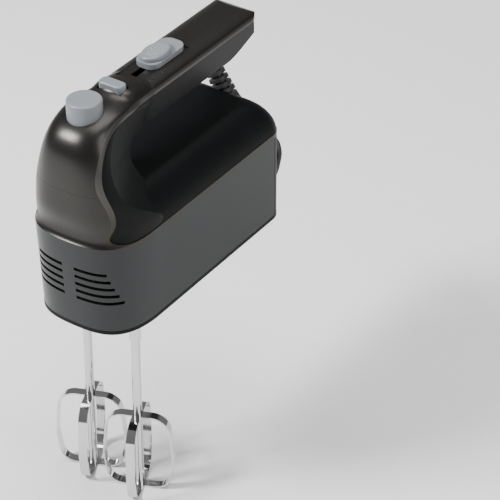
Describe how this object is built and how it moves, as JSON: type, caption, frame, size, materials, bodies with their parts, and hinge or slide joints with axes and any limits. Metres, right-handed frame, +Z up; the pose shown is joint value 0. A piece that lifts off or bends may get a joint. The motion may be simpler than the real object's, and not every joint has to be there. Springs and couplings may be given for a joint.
{
  "type": "hand mixer",
  "caption": "Electric hand mixer with an open-ended D handle, crossed flat-strip beaters, eject button, speed slider and a coiled mains cord.",
  "frame": {"origin": "middle of the hand grip, inside the handle over the finger gap", "axes": "+Z up with the beaters hanging down, -Y towards the nose, +X to the right-hand side panel"},
  "size_m": [0.1082, 0.238, 0.326],
  "materials": {
    "graphite_paint": "metallic graphite lacquer, satin gloss",
    "bronze_trim": "satin bronze-grey chamfer",
    "black_satin": "satin black moulding",
    "light_grey": "satin light grey moulding",
    "beater_chrome": "polished plated steel",
    "cord_black": "matte black cable sheath",
    "pin_nickel": "nickel-plated brass",
    "dark_mark": "printed dark tick",
    "zinc_steel": "zinc-plated steel",
    "sintered_bronze": "oiled sintered bronze",
    "brass": "plain brass",
    "copper": "enamelled copper",
    "lamination": "stacked electrical steel",
    "white_nylon": "natural nylon",
    "carbon": "carbon brush",
    "switch_black": "black switch moulding",
    "board_green": "circuit board"
  },
  "bodies": {
    "housing": {"top_cover": "graphite_paint", "nose_cover": "graphite_paint", "body_shell": "graphite_paint", "heel_cover": "black_satin", "right_bezel": "bronze_trim", "left_bezel": "bronze_trim", "handle_grip": "black_satin", "body_top": "black_satin", "base_plate": "black_satin", "base_screws": "zinc_steel", "screw_posts": "black_satin", "gear_frame": "white_nylon", "gear_lid": "white_nylon", "lower_bushes": "sintered_bronze", "upper_bushes": "sintered_bronze", "eject_guide": "white_nylon", "eject_spring": "zinc_steel", "stator_core": "lamination", "field_coils": "copper", "motor_bracket": "zinc_steel", "front_bearing": "sintered_bronze", "rear_bearing": "sintered_bronze", "brush_holders": "brass", "carbon_brushes": "carbon", "turbo_switch": "switch_black", "turbo_spring": "zinc_steel", "speed_switch": "switch_black", "speed_marks": "dark_mark", "control_board": "board_green", "board_parts": "switch_black", "terminal_block": "white_nylon", "cord_clamp": "switch_black", "strain_relief": "cord_black", "cord": "cord_black", "cord_tail": "cord_black", "cord_coil": "cord_black", "cord_tie": "cord_black", "plug_body": "cord_black", "plug_pins": "pin_nickel"},
    "rotor": {"motor_shaft": "zinc_steel", "worm": "zinc_steel", "cooling_fan": "white_nylon", "armature_core": "lamination", "armature_winding": "copper", "commutator": "copper"},
    "left_spindle": {"left_spindle": "zinc_steel", "left_worm_wheel": "white_nylon"},
    "right_spindle": {"right_spindle": "zinc_steel", "right_worm_wheel": "white_nylon"},
    "left_beater": {"left_beater_stem": "beater_chrome", "left_beater_blades": "beater_chrome"},
    "right_beater": {"right_beater_stem": "beater_chrome", "right_beater_blades": "beater_chrome"},
    "ejector": {"eject_button": "light_grey", "eject_yoke": "white_nylon"},
    "turbo_button": {"turbo_button": "light_grey"},
    "speed_slider": {"speed_slider": "light_grey"}
  },
  "joints": [
    {"name": "rotor_spin", "type": "hinge", "parent": "housing", "child": "rotor", "pos_m": [0, 0, -0.098], "axis": [0, 1, 0], "continuous": true},
    {"name": "left_spindle_spin", "type": "hinge", "parent": "housing", "child": "left_spindle", "pos_m": [-0.021, -0.075, -0.11], "axis": [0, 0, 1], "continuous": true},
    {"name": "right_spindle_spin", "type": "hinge", "parent": "housing", "child": "right_spindle", "pos_m": [0.021, -0.075, -0.11], "axis": [0, 0, 1], "continuous": true},
    {"name": "eject_press", "type": "slide", "parent": "housing", "child": "ejector", "axis": [0, 0, -1], "range_m": [0, 0.007], "stiffness_N_per_m": 700, "springref_m": -0.005, "deforming": ["eject_spring"]},
    {"name": "left_beater_release", "type": "slide", "parent": "left_spindle", "child": "left_beater", "axis": [0, 0, -1], "range_m": [0, 0.007]},
    {"name": "right_beater_release", "type": "slide", "parent": "right_spindle", "child": "right_beater", "axis": [0, 0, -1], "range_m": [0, 0.007]},
    {"name": "turbo_press", "type": "slide", "parent": "housing", "child": "turbo_button", "axis": [0, 0, -1], "range_m": [0, 0.0025], "stiffness_N_per_m": 400, "springref_m": -0.002, "deforming": ["turbo_spring"]},
    {"name": "speed_slide", "type": "slide", "parent": "housing", "child": "speed_slider", "axis": [0, -1, 0], "range_m": [0, 0.018]}
  ],
  "couplings": [
    {"joint": "left_spindle_spin", "follows": "rotor_spin", "ratio": 0.083333},
    {"joint": "right_spindle_spin", "follows": "rotor_spin", "ratio": -0.083333},
    {"joint": "left_beater_release", "follows": "eject_press", "ratio": 1},
    {"joint": "right_beater_release", "follows": "eject_press", "ratio": 1}
  ]
}
